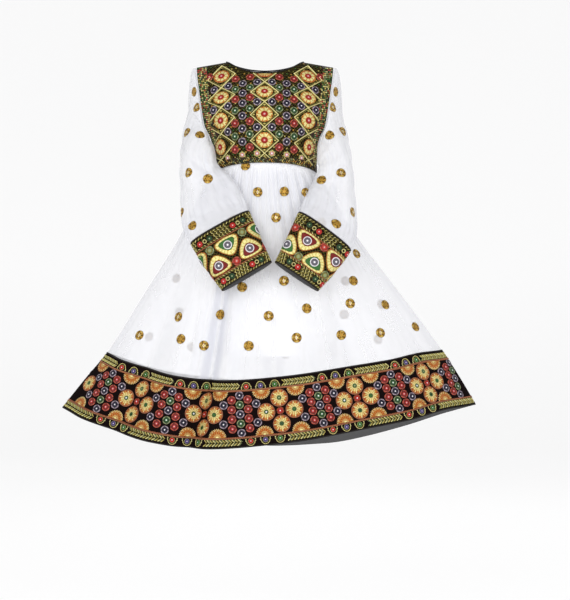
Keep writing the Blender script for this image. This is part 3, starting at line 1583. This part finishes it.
class GOWN_OT_hem_embroidery(Operator):
    """Lays the medallions, jewels and braids on the band."""

    bl_idname = "gown.hem_embroidery"
    bl_label = "Hem Embroidery"

    medallion_radius = 21.5
    half_radius = 22
    half_offset = 43  # of a half medallion from its group's middle
    pitch = 14  # of each shade's stitches in the herringbone
    jewel_room = 20  # from a jewel's middle to the first stitch

    def execute(self, context):
        shares = np.linspace(0, 1, sizes().skirt_columns + 1)
        for face in ("front", "back"):
            cloth = skirt_cloth(face, shares, np.linspace(BAND_TOP + 0.0007, 1, BAND_ROWS))
            cloth = cloth.raised(sizes().band_wall - SHEER_WALL)
            cloth.down = cloth.down * BAND_LENGTH / cloth.length
            middle = cloth.width / 2
            if face == "front":
                middle = cloth.across_at_x(GROUP_AT_X, BAND_LENGTH / 2)
            groups = middle + REPEAT * np.arange(-4, 5)
            self.field(cloth, groups).piece(f"band_medallions_{face}")
            self.borders(cloth, groups).piece(f"band_borders_{face}")
        return {"FINISHED"}

    def field(self, cloth, groups):
        """Groups of four medallions round a rosette, half medallions on the field's edges, and clusters of
        small rings between the groups."""
        t = THREAD
        work = Embroidery(cloth)
        rosette = ring_jewel(9.5, t["burnt"], t["red"])
        for x, y, glint in ((34, 0, "green"), (-34, 0, "white"), (0, 32, "dark_green"), (0, -32, "sage")):
            whole = medallion(self.medallion_radius, t["green"], glint)
            work.lay(whole, square_to_band(cloth, groups + x, FIELD_MIDDLE + y, 22), FIELD_MIDDLE + y)
        work.lay(rosette, inside(groups, 10, cloth.width - 10), FIELD_MIDDLE)
        for down, v in ((True, FIELD_TOP + 1.5), (False, FIELD_BOTTOM - 1.5)):
            halves = np.concatenate([groups - self.half_offset, groups + self.half_offset])
            half = half_medallion(self.half_radius, down)
            work.lay(half, square_to_band(cloth, halves, v, self.half_radius + 1), v)
        clusters = np.append(groups - REPEAT / 2, groups[-1] + REPEAT / 2)
        ring = ring_jewels()
        places = [(0, y, "violet") for y in (-46, 0, 46)] + [(0, y, "green") for y in (-23, 23)]
        places += [(x, y, "red") for x in (-20, 20) for y in (-35, -11.5, 11.5, 35)]
        places += [(x, y, "violet") for x in (-40, 40) for y in (-23, 23)]
        for x, y, shade in places:
            v = FIELD_MIDDLE + y
            work.lay(ring[shade], square_to_band(cloth, clusters + x, v, 9), v)
        return work

    def borders(self, cloth, groups):
        """Two cords along the field, and outside them herringbone braids between triples of jewels."""
        t = THREAD
        work = Embroidery(cloth)
        along = np.arange(2, cloth.width - 2, 4.0)
        bead = stitch(4.6, 2.6, 1.3, t["copper"], 0.2, 0.45)
        light = stitch(4.6, 1.8, 1.3, t["tan"], 0.3, 0.4)
        for v in (FIELD_TOP, FIELD_BOTTOM):
            work.lay(bead, along, v, turn=0.35)
            work.lay(light, along, v + (1.9 if v == FIELD_BOTTOM else -1.9), turn=-0.35)
        for down, v in ((True, 16.5), (False, 151.5)):
            jewels = []
            for offset, shade in ((-78, "red"), (-43, "violet"), (-8, "green")):
                places = square_to_band(cloth, groups + offset, v, 14)
                work.lay(arched_jewel(7.6, t[shade], down), places, v + (1 if down else -1))
                jewels.extend(places)
            self.herringbone(work, cloth, np.array(jewels), v - 1 if down else v)
        for v in (1.8, BAND_LENGTH - 1.8):
            work.lay(stitch(6, 3, 0.9, t["black"], 0.0, 0.5), np.arange(4, cloth.width - 4, 5.4), v, turn=0.1)
        return work

    def herringbone(self, work, cloth, jewels, v):
        """Two rows of slanted stitches that meet in arrows, between the jewels, with a thin green stitch
        between each two of them."""
        threads = (("straw", 0, 2.2), ("pale", 7, 2.2), ("olive", 3.5, 1.1), ("sage", 10.5, 1.1))
        for row, lean in ((-4.1, 0.75), (4.1, -0.75)):
            for shade, start, width in threads:
                places = np.arange(4 + start, cloth.width - 4, self.pitch)
                away = np.abs(places[:, None] - jewels[None, :]).min(axis=1) > self.jewel_room
                work.lay(stitch(9.6, width, 1.2, THREAD[shade]), places[away], v + row, turn=lean)


def bead_strip_share(z):
    """Where the beads beside the armhole begin, as a share of the yoke's half width."""
    return np.interp(z, [WAIST_CORNER_Z, -150], [0.93, 0.85])


class GOWN_OT_yoke_embroidery(Operator):
    """Lays the diamonds, medallions, rings and bead strips on the yoke."""

    bl_idname = "gown.yoke_embroidery"
    bl_label = "Yoke Embroidery"

    column = 107.0  # x of the side columns of diamonds
    half_width = 34.0
    sag = 12.5  # of the lattice at the side columns
    necks = np.array([0.0, -60.5, -112.5, -176.5, -239.5, -300.0])  # heights where a column's diamonds meet

    def execute(self, context):
        work = Embroidery(chest_plane())
        self.ground_stitches(work)
        self.diamonds(work)
        self.rings(work)
        work.piece("yoke_stitching")
        self.strips().piece("yoke_edge_beads")
        return {"FINISHED"}

    @staticmethod
    def fits(x, z, reach):
        """Whether a patch of that reach lies on the yoke, inside its braids."""
        edge = read(TORSO, "z", z, "edge") * bead_strip_share(z)
        low = waist_line("front", x) + WAIST_BRAID_SHARE * YOKE_HEIGHT
        high = np.minimum(top_line("front", x), shoulder_line(x))
        return (np.abs(x) + reach < edge + 5) & (z - reach > low - 3) & (z + reach < high - 1)

    def lay(self, work, motif, x, z, reach, turn=0.0):
        """Lays a motif at places of an even lattice, which sags towards the sides: its sag times the square
        of x over the side columns' x. The motif's slope across the yoke sags with it."""
        x, z, turn = (np.ravel(a).astype(float) for a in np.broadcast_arrays(x, z, turn))
        share = x / self.column
        z = z - self.sag * share**2
        turn = np.arctan(np.tan(turn) + 2 * self.sag * share / self.column)
        good = self.fits(x, z, reach)
        reach_over = np.abs(x) + reach > read(TORSO, "z", z, "edge") * ARMHOLE_BRAID_SHARE - 4
        for chosen, lift in ((good & ~reach_over, 0), (good & reach_over, BRAID_WALL + SEAM_GAP)):
            work.lay(motif, x[chosen], -z[chosen], turn=turn[chosen], lift=lift)

    def diamonds(self, work):
        """Chains of diamonds of pale double cord, each with an oval medallion and a red jewel."""
        t = THREAD
        corner_leaf = dome(
            circle(1.0, 8) * (4.5, 2.2),
            [(1.0, -0.2, t["dark_olive"], 0.2, 0.5), (0.7, 0.9, t["straw"], 0.3, 0.4)],
        )
        segment = stitch(6.2, 2.6, 1.6, t["pale"], 0.4, 0.35)
        lace = stitch(5.2, 1.5, 1.2, t["olive"], 0.35, 0.4)
        place = (np.arange(11) + 0.5) / 11
        for x0 in (-self.column, 0.0, self.column):
            for number, (top, bottom) in enumerate(zip(self.necks[:-1], self.necks[1:])):
                z0, half_height = (top + bottom) / 2, (top - bottom) / 2
                slope = math.atan2(half_height, self.half_width)
                self.lay(work, self.oval(half_height, number == 0), x0, z0, 12)
                for dx, dz in ((-26.5, 0), (26.5, 0), (0, 23.5), (0, -23.5)):
                    self.lay(work, corner_leaf, x0 + dx, z0 + dz, 2)
                for sx in (-1, 1):
                    for sz in (-1, 1):
                        x, z = sx * self.half_width * (1 - place), sz * half_height * place
                        lean = sx * sz * slope
                        self.lay(work, segment, x0 + x, z0 + z, 1, lean)
                        self.lay(work, lace, x0 + x * 0.86, z0 + z * 0.86, 1, lean)
        strip = dome(
            circle(1.0, 20, 0.0, math.pi) * (22, 12),
            [
                (1.0, -0.3, t["rim"], 0.1, 0.6),
                (0.94, 0.9, [t["orange"], t["burnt"]], 0.2, 0.5),
                (0.7, 1.4, [t["gold"], t["pale"], t["orange"]], 0.3, 0.4),
                (0.3, 1.6, [t["pale"], t["gold"]], 0.3, 0.4),
            ],
            closed=False,
        )
        work.lay(strip, np.array([0.0]), FRONT_NECK_DROP + 1.6)

    @staticmethod
    def oval(half_height, warm):
        """An oval medallion of pale and orange rays round a red jewel."""
        t = THREAD
        ray = [t["gold"], t["orange"], t["gold"], t["straw"], t["orange"], t["pale"]]
        if warm:
            ray = [t["orange"], t["gold"], t["orange"], t["burnt"]]
        return dome(
            circle(1.0, 36) * (21.5, 0.64 * half_height),
            [
                (1.0, -0.3, t["rim"], 0.1, 0.6),
                (0.96, 0.7, [t["gold"], t["burnt"]], 0.2, 0.5),
                (0.9, 1.1, ray, 0.3, 0.4),
                (0.76, 1.5, [t["pale"], t["pale"], t["gold"], t["pale"]], 0.25, 0.4),
                (0.42, 1.7, t["orange"], 0.1, 0.35),
                (0.35, 2.3, t["dark_red"], 0.0, 0.2),
                (0.27, 2.5, t["red"], 0.0, 0.15),
                (0.11, 2.7, t["pink"], 0.0, 0.2),
            ],
        )

    def rings(self, work):
        """Round jewels in a lattice between the diamonds: violet on the necks and beside each diamond, green
        half way up to the neck above it and red half way down to the neck below. The lowest neck that is
        whole has flowers."""
        t = THREAD
        violet, green, red = (ring_jewels()[shade] for shade in ("violet", "green", "red"))
        flower = dome(
            circle(9.0, 12) * (1 + 0.12 * np.where(np.arange(12) % 2, 1, -1))[:, None],
            [
                (1.0, -0.2, t["olive"], 0.1, 0.5),
                (0.9, 1.0, [t["sage"], t["straw"]], 0.2, 0.4),
                (0.6, 1.2, [t["pink"], t["rose"]], 0.0, 0.4),
                (0.25, 1.5, t["white"], 0.0, 0.3),
            ],
        )
        side = np.array([-1, 1])[:, None]
        for number, (top, bottom) in enumerate(zip(self.necks[:-1], self.necks[1:])):
            middle = (top + bottom) / 2
            for shade, offsets, z in (
                (violet if bottom > self.necks[-2] else flower, (18, 54, 90), bottom),
                (violet, (125,), bottom),
                (violet, (54,), middle),
                (green if number else red, (36, 72), (top + middle) / 2),
                (red, (36, 72), (bottom + middle) / 2),
                (red, (137,), middle + 8),
            ):
                x = (side * np.array(offsets)[None, :]).ravel()
                self.lay(work, shade, x, z, 7)

    def ground_stitches(self, work):
        """Small olive and gold cross stitches over the whole ground, under the rings."""
        t = THREAD
        shades = [t["olive"], t["straw"], t["dark_olive"], t["green"], t["olive"], t["gold"]]
        x, z = np.meshgrid(np.arange(-150, 151, 10.5), np.arange(-272, 20, 9.5))
        x = x + np.where(np.arange(z.shape[0]) % 2, 5.2, 0)[:, None]
        pick = np.random.default_rng(7).integers(0, len(shades), x.shape)
        for number, shade in enumerate(shades):
            chosen = pick == number
            for lean in (0.78, -0.78):
                self.lay(work, stitch(4.6, 1.5, 0.5, shade), x[chosen], z[chosen], 2, lean)

    def strips(self):
        """Beads on the armhole braids and rows of slanted stitches on the waist braid."""
        t = THREAD
        out = BRAID_WALL + SEAM_GAP
        work = Embroidery(chest_plane(out))
        shades = [t["straw"], t["green"], t["olive"], t["sage"], t["pale"], t["rose"], t["dark_green"]]
        rng = np.random.default_rng(11)
        beads = [
            dome(circle(2.5, 6), [(1.0, -0.4, shade, 0.3, 0.4), (0.6, 1.2, shade, 0.3, 0.3)])
            for shade in shades
        ]
        z_grid, part = np.meshgrid(np.arange(-258, -14, 4.9), np.linspace(0, 1, 6), indexing="ij")
        low_share = bead_strip_share(z_grid) + 0.012
        x = (low_share + part * (0.978 - low_share)) * read(TORSO, "z", z_grid, "edge")
        for sign in (-1, 1):
            low = z_grid < shoulder_line(x) - 4
            high = z_grid > waist_line("front", x) + 17
            pick = rng.integers(0, len(shades), x.shape)
            for number, bead in enumerate(beads):
                chosen = (pick == number) & low & high
                work.lay(bead, sign * x[chosen], -z_grid[chosen])
        along = np.arange(-122, 123, 5.2)
        threads = [t["olive"], t["straw"], t["dark_green"], t["sage"], t["dark_olive"], t["gold"]]
        for row, lean in ((0, 0.7), (1, -0.7), (2, 0.7)):
            pick = rng.integers(0, len(threads), len(along))
            for number, shade in enumerate(threads):
                x = along[pick == number]
                height = waist_line("front", x) + 2.8 + 4.6 * row
                work.lay(stitch(6.2, 2.0, 0.9, shade), x, -height, turn=lean)
        return work


class GOWN_OT_sleeves(Operator):
    """Makes the two sheer sleeves with their folds and sequins."""

    bl_idname = "gown.sleeves"
    bl_label = "Sleeves"

    def execute(self, context):
        stations = np.linspace(0, CUFF_STATION, 120)
        for side, sign in SIDES:
            cloth = sleeve_cloth(sign, tube_arounds(176, sign), stations)
            sleeve = shell(
                f"sheer_sleeve_{side}", cloth, sizes().sheer_wall, finish("sheer cloth"),
                weight=gathered_weight(cloth, 2, 9),
            )
            joined_to_frame(sleeve, "sheer_cloth", f"sleeve_{side}")
            places = nearest_places(cloth, sign * SLEEVE_SEQUINS["x"], SLEEVE_SEQUINS["z"])
            laid_sequins(cloth, places, f"sleeve_sequins_{side}")
        return {"FINISHED"}


class GOWN_OT_cuffs(Operator):
    """Makes the two deep stiff cuffs and the grey facings inside them."""

    bl_idname = "gown.cuffs"
    bl_label = "Cuffs"

    def execute(self, context):
        wall, facing_wall = sizes().band_wall, sizes().facing_wall
        for side, sign in SIDES:
            arounds = tube_arounds(120, sign)
            cloth = cuff_cloth(sign, arounds, CUFF_STATION + np.linspace(0.018, 2, 30))
            cuff = shell(f"stiff_cuff_{side}", cloth, wall, finish("yoke ground"))
            joined_to_frame(cuff, "cuff_ground", f"cuff_{side}")
            behind = cuff_cloth(sign, arounds, CUFF_STATION + np.linspace(1, 2, 16))
            facing = shell(
                f"cuff_lining_{side}", behind, facing_wall, finish("grey facing"), -wall - SEAM_GAP
            )
            joined_to_frame(facing, "grey_facing", f"cuff_facing_{side}")
        return {"FINISHED"}


class GOWN_OT_cuff_embroidery(Operator):
    """Lays the drops, beads and woven borders on the cuffs."""

    bl_idname = "gown.cuff_embroidery"
    bl_label = "Cuff Embroidery"

    drops = 8
    field_shift = {1: 17.0, -1: -2.0}  # how far the pattern is set round each cuff
    border_rows = 6
    row_gap = 4.2
    pitch = 16.4  # of each shade's stitches in a row of a border
    jewel_offset = 13  # of the border's jewels from the ring between them

    def execute(self, context):
        for side, sign in SIDES:
            arounds = tube_arounds(160, sign)
            cloth = cuff_cloth(sign, arounds, CUFF_STATION + np.linspace(0.018, 2, 40))
            work = Embroidery(cloth)
            self.field(work, cloth, sign)
            self.borders(work, cloth, sign)
            work.piece(f"cuff_stitching_{side}")
        return {"FINISHED"}

    def lay(self, work, sign, motif, u, from_middle, turn=0.0):
        """Lays a motif at a place round the cuff and a distance below its middle. The left cuff has the
        right one's pattern turned by half a turn."""
        cloth = work.cloth
        v = cloth.length / 2 - sign * np.asarray(from_middle, float)
        turned = motif.turned(math.pi) if sign > 0 else motif
        work.lay(turned, self.field_shift[sign] - sign * np.asarray(u, float), v, turn=turn)

    @staticmethod
    def drop(inner, dark):
        """A pale rounded triangle, its tip down, with a coloured drop, a white ring and a grey pearl."""
        t = THREAD
        body = dome(
            rounded_triangle(59, 48, 48),
            [
                (1.0, -0.3, t["burnt"], 0.2, 0.5),
                (0.95, 0.9, [t["gold"], t["olive"]], 0.3, 0.45),
                (0.88, 1.2, [t["straw"], t["pale"], t["pale"]], 0.35, 0.4),
                (0.6, 1.4, [t["pale"], t["straw"], t["pale"], t["gold"]], 0.35, 0.4),
            ],
            threads=1.0,
        )
        eye = dome(
            rounded_triangle(41, 29, 24),
            [(1.0, 1.0, dark, 0.05, 0.5), (0.92, 1.9, inner, 0.05, 0.4), (0.4, 1.9, inner, 0.05, 0.35)],
        ).moved(0, -2.5)
        pearl = dome(
            circle(10.8, 20),
            [
                (1.0, 1.8, t["white"], 0.1, 0.4),
                (0.94, 2.9, t["white"], 0.1, 0.3),
                (0.78, 2.3, t["rim"], 0.1, 0.3),
                (0.7, 2.6, t["grey"], 0.2, 0.25),
                (0.5, 3.2, t["grey"], 0.2, 0.2),
                (0.22, 3.5, t["white"], 0.1, 0.15),
            ],
        )
        return Motif.joined([body, eye, pearl])

    def field(self, work, cloth, sign):
        """Drops that point down and up in turn, with a round bead at each tip."""
        t = THREAD
        step = cloth.width / self.drops
        down = step * np.arange(0, self.drops, 2)
        up = step * np.arange(1, self.drops, 2)
        self.lay(work, sign, self.drop(t["green"], t["dark_green"]), down, -16.5)
        self.lay(work, sign, self.drop(t["dark_red"], t["rim"]).turned(math.pi), up, 16.5)
        self.lay(work, sign, ring_jewel(11.2, t["rose"], t["red"], t["rose"], "pink"), down, 28)
        self.lay(work, sign, ring_jewel(11.0, t["sage"], t["olive"], t["sage"], None), up, -27)

    def borders(self, work, cloth, sign):
        """A woven zigzag at each edge of the cuff, with pairs of red and green jewels joined by a ring."""
        t = THREAD
        square = {
            shade: dome(
                circle(8.6, 8, math.pi / 8),
                [
                    (1.0, -0.2, t["rim"], 0.3, 0.4),
                    (0.84, 1.2, t[shade], 0.1, 0.3),
                    (0.55, 1.9, t[shade], 0.1, 0.15),
                    (0.22, 2.0, t[light], 0, 0.2),
                ],
            )
            for shade, light in (("red", "pink"), ("dark_green", "sage"))
        }
        link = ribbon(circle(4.2, 12), 2.0, 2.2, t["pale"], closed=True)
        step = cloth.width / self.drops
        pairs = step * np.arange(1, self.drops, 2)
        half = cloth.length / 2
        for edge, inward, middle in ((-half, 1, -half + 17.5), (half, -1, half - 16)):
            self.lay(work, sign, square["red"], pairs - self.jewel_offset, middle)
            self.lay(work, sign, square["dark_green"], pairs + self.jewel_offset, middle)
            self.lay(work, sign, link, pairs, middle)
            shades = ("straw", "olive", "pale", "dark_olive")
            for row in range(self.border_rows):
                lean = 0.8 if row % 2 else -0.8
                for number in range(4):
                    shade = shades[(number + 2 * row) % 4]
                    places = np.arange(1.3 * row + self.pitch / 4 * number, cloth.width, self.pitch)
                    away = np.abs(places[:, None] - pairs[None, :]).min(axis=1) > 23
                    kept = places[away] if 0 < row < self.border_rows - 1 else places
                    v = edge + inward * (6 + self.row_gap * row)
                    self.lay(work, sign, stitch(5.2, 1.7, 1.1, t[shade]), kept, v, turn=lean)
            edging = stitch(5.4, 3.2, 1.0, t["black"], 0, 0.5)
            self.lay(work, sign, edging, np.arange(0, cloth.width, 5.2), edge + inward * 1.8)
            cord = stitch(5, 2.4, 1.3, t["copper"], 0.2, 0.45)
            self.lay(work, sign, cord, np.arange(0, cloth.width, 4.2), edge + inward * 30.5)


class GOWN_OT_studio(Operator):
    """Makes the pale floor and its rounded backdrop, the soft lights and the camera."""

    bl_idname = "gown.studio"
    bl_label = "Studio"

    flat_radius = 5.6
    cove_radius = 1.2
    wall_top = 3.0
    sectors = 96

    def execute(self, context):
        studio = context.scene.studio_settings
        self.bowl(studio.floor_z)
        self.lights(studio)
        self.camera(context, studio)
        self.world(context, studio)
        return {"FINISHED"}

    def bowl(self, floor_z):
        """A floor that turns up into a wall all round: a profile of a flat, a quarter circle and a straight
        rise, carried round the vertical axis."""
        turn = np.linspace(0, np.pi / 2, 14)
        flat = np.linspace(0.3, self.flat_radius, 12)
        level = np.zeros(len(flat))
        radius = np.concatenate([flat, self.flat_radius + self.cove_radius * np.sin(turn[1:])])
        height = np.concatenate([level, self.cove_radius * (1 - np.cos(turn[1:]))])
        radius = np.append(radius, radius[-1])
        height = np.append(height, self.wall_top - floor_z)
        angle = 2 * np.pi * np.arange(self.sectors) / self.sectors
        x, y = (radius[:, None] * part(angle)[None, :] for part in (np.cos, np.sin))
        z = np.broadcast_to(floor_z + height[:, None], x.shape)
        points = np.append(np.stack([x, y, z], axis=-1).reshape(-1, 3), [[0, 0, floor_z]], axis=0)
        ids = np.arange(x.size).reshape(x.shape)
        ids = np.append(ids, ids[:, :1], axis=1)
        quads = cells(ids)
        hub = np.full(self.sectors, len(points) - 1)
        fan = np.stack([hub, ids[0, :-1], ids[0, 1:]], axis=-1)
        mesh = bpy.data.meshes.new("studio_floor")
        mesh.from_pydata(points, [], quads.tolist() + fan.tolist())
        mesh.shade_smooth()
        paper = Finish("studio paper")
        tone = paper.noise(paper.object_place(), 0.8, 2.0)
        mesh.materials.append(
            paper.surface(
                Base_Color=paper.mix(tone, (0.3, 0.3, 0.302), (0.32, 0.32, 0.322)),
                Roughness=0.9,
                Specular_IOR_Level=0.1,
                Emission_Color=(1.0, 1.0, 1.0),
                Emission_Strength=0.68,
            )
        )
        floor = bpy.data.objects.new("studio_floor", mesh)
        bpy.context.collection.objects.link(floor)

    def lights(self, studio):
        """Three large soft lights: in front on the left, in front on the right, and above behind."""
        for name, place, size, share in (
            ("key", (-1.7, -3.8, 0.9), 2.4, 1.0),
            ("fill", (2.3, -3.5, 0.2), 3.0, 0.6),
            ("back", (0.6, 2.8, 1.8), 2.4, 0.5),
        ):
            data = bpy.data.lights.new(name, "AREA")
            data.energy = studio.key_power * share
            data.size = size
            lamp = bpy.data.objects.new(name, data)
            lamp.location = place
            aim = Vector((0, 0, -0.5)) - lamp.location
            lamp.rotation_euler = aim.to_track_quat("-Z", "Y").to_euler()
            bpy.context.collection.objects.link(lamp)

    def camera(self, context, studio):
        data = bpy.data.cameras.new("camera")
        data.lens = studio.lens
        data.sensor_width = 36
        camera = bpy.data.objects.new("camera", data)
        camera.location = (studio.camera_x, -studio.camera_distance, studio.camera_z)
        aim = Vector((studio.camera_x, 0, studio.aim_z)) - camera.location
        camera.rotation_euler = aim.to_track_quat("-Z", "Y").to_euler()
        context.collection.objects.link(camera)
        context.scene.camera = camera

    def world(self, context, studio):
        world = bpy.data.worlds.new("studio")
        world.use_nodes = True
        sky = world.node_tree.nodes["Background"]
        sky.inputs["Color"].default_value = (1, 1, 1, 1)
        sky.inputs["Strength"].default_value = studio.sky
        context.scene.world = world
        context.scene.view_settings.view_transform = "Standard"
        context.scene.cycles.transparent_max_bounces = 32


class GOWN_PT_panel(Panel):
    """Lists the gown's pieces in the sidebar."""

    bl_label = "Embroidered Gown"
    bl_idname = "GOWN_PT_panel"
    bl_space_type = "VIEW_3D"
    bl_region_type = "UI"
    bl_category = "Gown"

    def draw(self, context):
        scene = context.scene
        for group in (scene.gown_sizes, scene.gown_colours, scene.studio_settings):
            box = self.layout.box()
            for name in group.bl_rna.properties.keys():
                if name not in ("rna_type", "name"):
                    box.prop(group, name)
        for piece in OPERATORS:
            self.layout.operator(piece.bl_idname)


OPERATORS = (
    GOWN_OT_bodice,
    GOWN_OT_skirt,
    GOWN_OT_underskirt,
    GOWN_OT_hem_band,
    GOWN_OT_sleeves,
    GOWN_OT_cuffs,
    GOWN_OT_yoke_embroidery,
    GOWN_OT_hem_embroidery,
    GOWN_OT_cuff_embroidery,
    GOWN_OT_studio,
)
GROUPS = (GownSizes, GownColours, StudioSettings)


def register():
    for made in (*GROUPS, *OPERATORS, GOWN_PT_panel):
        bpy.utils.register_class(made)
    bpy.types.Scene.gown_sizes = PointerProperty(type=GownSizes)
    bpy.types.Scene.gown_colours = PointerProperty(type=GownColours)
    bpy.types.Scene.studio_settings = PointerProperty(type=StudioSettings)


def unregister():
    del bpy.types.Scene.gown_sizes
    del bpy.types.Scene.gown_colours
    del bpy.types.Scene.studio_settings
    for made in (GOWN_PT_panel, *reversed(OPERATORS), *reversed(GROUPS)):
        bpy.utils.unregister_class(made)


def main():
    register()
    for operator in OPERATORS:
        group, name = operator.bl_idname.split(".")
        getattr(getattr(bpy.ops, group), name)()


if __name__ == "__main__":
    main()
